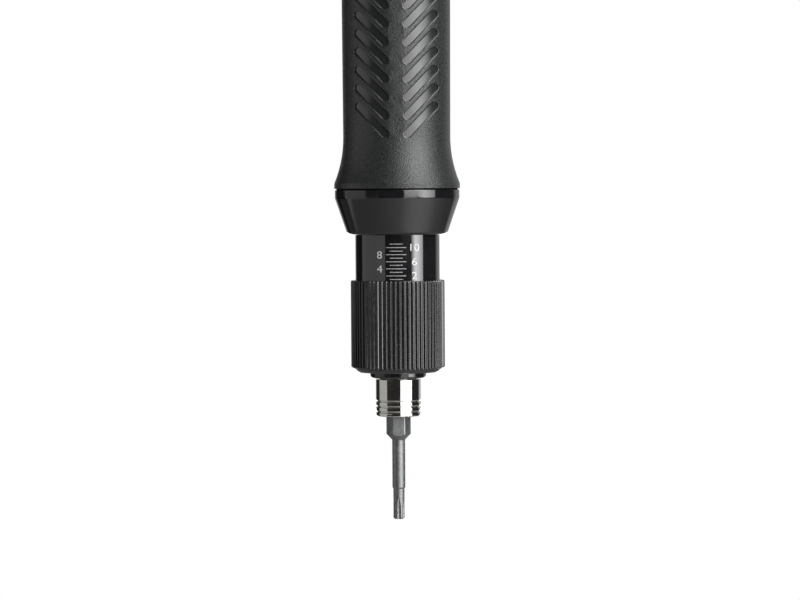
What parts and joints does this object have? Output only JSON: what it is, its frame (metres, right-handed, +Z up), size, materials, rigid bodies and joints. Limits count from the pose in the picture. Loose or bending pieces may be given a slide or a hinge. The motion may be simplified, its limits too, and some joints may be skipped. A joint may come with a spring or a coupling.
{
  "type": "electric screwdriver",
  "caption": "In-line electric torque screwdriver hung bit down: hex bit in a quick-change chuck, knurled torque ring over a graduated barrel, chevron grip, start lever, bail.",
  "frame": {"origin": "on the tool's axis at the mouth of the bit socket, the lower face of the spindle", "axes": "+Z up the tool from bit to bail, -Y towards the torque scale and the start lever, +X to the right as seen from the scale"},
  "size_m": [0.0364, 0.0372, 0.2872],
  "materials": {
    "bit_steel": "satin, oiled grey steel",
    "steel": "ground steel",
    "chrome": "polished chrome plate",
    "spring_steel": "drawn spring wire",
    "collar_black": "gloss black moulding",
    "ring_black": "satin black anodising on a straight knurl",
    "barrel_black": "gloss black enamel with printed marks",
    "nose_black": "polished black moulding",
    "grip_grey": "spark-eroded fine grain with smooth grooves",
    "lever_grey": "fine grain",
    "knob_black": "fine grain",
    "cap_black": "fine grain",
    "screw_black": "black oxide",
    "gear_steel": "hobbed and hardened",
    "case_zinc": "as cast, machined seats",
    "motor_steel": "zinc plated",
    "core_steel": "stacked lamination edges",
    "copper": "enamelled copper wire",
    "magnet": "coated magnet ring",
    "board_green": "solder mask",
    "component_black": "moulded packages",
    "switch_black": "moulded switch case",
    "plunger_red": "moulded plunger",
    "lead_red": "soft insulation",
    "connector_metal": "nickel plate",
    "insert_black": "moulded insulator",
    "pin_brass": "gold flash",
    "bail_steel": "drawn stainless wire"
  },
  "bodies": {
    "housing": {"scale_barrel": "barrel_black", "output_bearing": "steel", "nose_ring": "nose_black", "gear_case": "case_zinc", "motor_front_bell": "case_zinc", "motor_rear_bell": "case_zinc", "motor_bearings": "steel", "motor_can": "motor_steel", "stator_core": "core_steel", "stator_windings": "copper", "sensor_board": "board_green", "front_shell": "grip_grey", "back_shell": "grip_grey", "shell_screws": "screw_black", "lever_pin": "steel", "start_switch": "switch_black", "direction_switch": "switch_black", "control_board": "board_green", "board_components": "component_black", "motor_leads": "lead_red", "supply_leads": "lead_red", "top_cap": "cap_black", "connector_socket": "connector_metal", "connector_insert": "insert_black", "connector_pins": "pin_brass", "connector_nut": "connector_metal", "clutch_spring": "spring_steel"},
    "start_lever": {"start_lever": "lever_grey"},
    "switch_plunger": {"switch_plunger": "plunger_red"},
    "direction_knob": {"direction_knob": "knob_black"},
    "bail": {"bail": "bail_steel"},
    "ring_seat": {"spring_seat": "steel"},
    "torque_ring": {"torque_ring": "ring_black", "ring_bush": "collar_black"},
    "spindle": {"spindle": "steel", "bit": "bit_steel", "chuck_balls": "steel", "chuck_clip": "spring_steel", "chuck_washer": "steel", "sleeve_spring": "spring_steel", "lower_cam": "gear_steel", "clutch_balls": "steel", "upper_cam": "gear_steel", "second_carrier": "gear_steel", "second_carrier_pins": "steel"},
    "chuck_sleeve": {"chuck_sleeve": "chrome"},
    "first_carrier": {"first_carrier": "gear_steel", "first_carrier_pins": "steel"},
    "rotor": {"rotor_shaft": "steel", "rotor_magnet": "magnet", "motor_pinion": "gear_steel"},
    "first_planet_1": {"first_planet_1": "gear_steel"},
    "first_planet_2": {"first_planet_2": "gear_steel"},
    "first_planet_3": {"first_planet_3": "gear_steel"},
    "second_planet_1": {"second_planet_1": "gear_steel"},
    "second_planet_2": {"second_planet_2": "gear_steel"},
    "second_planet_3": {"second_planet_3": "gear_steel"}
  },
  "joints": [
    {"name": "rotor_spin", "type": "hinge", "parent": "housing", "child": "rotor", "pos_m": [0, 0, 0.094], "axis": [0, 0, 1], "continuous": true},
    {"name": "first_carrier_spin", "type": "hinge", "parent": "housing", "child": "first_carrier", "pos_m": [0, 0, 0.0665], "axis": [0, 0, 1], "continuous": true},
    {"name": "spindle_spin", "type": "hinge", "parent": "housing", "child": "spindle", "pos_m": [0, 0, 0.0541], "axis": [0, 0, 1], "continuous": true},
    {"name": "first_planet_1_spin", "type": "hinge", "parent": "first_carrier", "child": "first_planet_1", "pos_m": [0.0072, 0, 0.07035], "axis": [0, 0, 1], "continuous": true},
    {"name": "first_planet_2_spin", "type": "hinge", "parent": "first_carrier", "child": "first_planet_2", "pos_m": [-0.0036, 0.00624, 0.07035], "axis": [0, 0, 1], "continuous": true},
    {"name": "first_planet_3_spin", "type": "hinge", "parent": "first_carrier", "child": "first_planet_3", "pos_m": [-0.0036, -0.00624, 0.07035], "axis": [0, 0, 1], "continuous": true},
    {"name": "second_planet_1_spin", "type": "hinge", "parent": "spindle", "child": "second_planet_1", "pos_m": [0.0072, 0, 0.06255], "axis": [0, 0, 1], "continuous": true},
    {"name": "second_planet_2_spin", "type": "hinge", "parent": "spindle", "child": "second_planet_2", "pos_m": [-0.0036, 0.00624, 0.06255], "axis": [0, 0, 1], "continuous": true},
    {"name": "second_planet_3_spin", "type": "hinge", "parent": "spindle", "child": "second_planet_3", "pos_m": [-0.0036, -0.00624, 0.06255], "axis": [0, 0, 1], "continuous": true},
    {"name": "torque_ring_travel", "type": "slide", "parent": "housing", "child": "ring_seat", "axis": [0, 0, 1], "range_m": [0, 0.009], "deforming": ["clutch_spring"]},
    {"name": "torque_ring_turn", "type": "hinge", "parent": "ring_seat", "child": "torque_ring", "pos_m": [0, 0, 0.026], "axis": [0, 0, 1], "range_deg": [0, 3240]},
    {"name": "chuck_sleeve_slide", "type": "slide", "parent": "spindle", "child": "chuck_sleeve", "axis": [0, 0, -1], "range_m": [0, 0.002], "stiffness_N_per_m": 1500, "springref_m": -0.002, "deforming": ["sleeve_spring"]},
    {"name": "start_lever_pivot", "type": "hinge", "parent": "housing", "child": "start_lever", "pos_m": [0, -0.0116, 0.1878], "axis": [1, 0, 0], "range_deg": [0, 5], "stiffness_Nm_per_rad": 0.5, "springref_deg": -11.46},
    {"name": "switch_plunger_slide", "type": "slide", "parent": "housing", "child": "switch_plunger", "axis": [0, 1, 0], "range_m": [0, 0.0011]},
    {"name": "direction_knob_slide", "type": "slide", "parent": "housing", "child": "direction_knob", "axis": [0, 0, 1], "range_m": [-0.0025, 0.0025]},
    {"name": "bail_swing", "type": "hinge", "parent": "housing", "child": "bail", "pos_m": [0, 0, 0.2166], "axis": [1, 0, 0], "range_deg": [-100, 100]}
  ],
  "couplings": [
    {"joint": "first_carrier_spin", "follows": "rotor_spin", "ratio": 0.25},
    {"joint": "spindle_spin", "follows": "rotor_spin", "ratio": 0.0625},
    {"joint": "first_planet_1_spin", "follows": "rotor_spin", "ratio": -0.75},
    {"joint": "first_planet_2_spin", "follows": "rotor_spin", "ratio": -0.75},
    {"joint": "first_planet_3_spin", "follows": "rotor_spin", "ratio": -0.75},
    {"joint": "second_planet_1_spin", "follows": "rotor_spin", "ratio": -0.1875},
    {"joint": "second_planet_2_spin", "follows": "rotor_spin", "ratio": -0.1875},
    {"joint": "second_planet_3_spin", "follows": "rotor_spin", "ratio": -0.1875},
    {"joint": "torque_ring_travel", "follows": "torque_ring_turn", "m_per_rad": 0.00015915},
    {"joint": "switch_plunger_slide", "follows": "start_lever_pivot", "m_per_rad": 0.012}
  ]
}
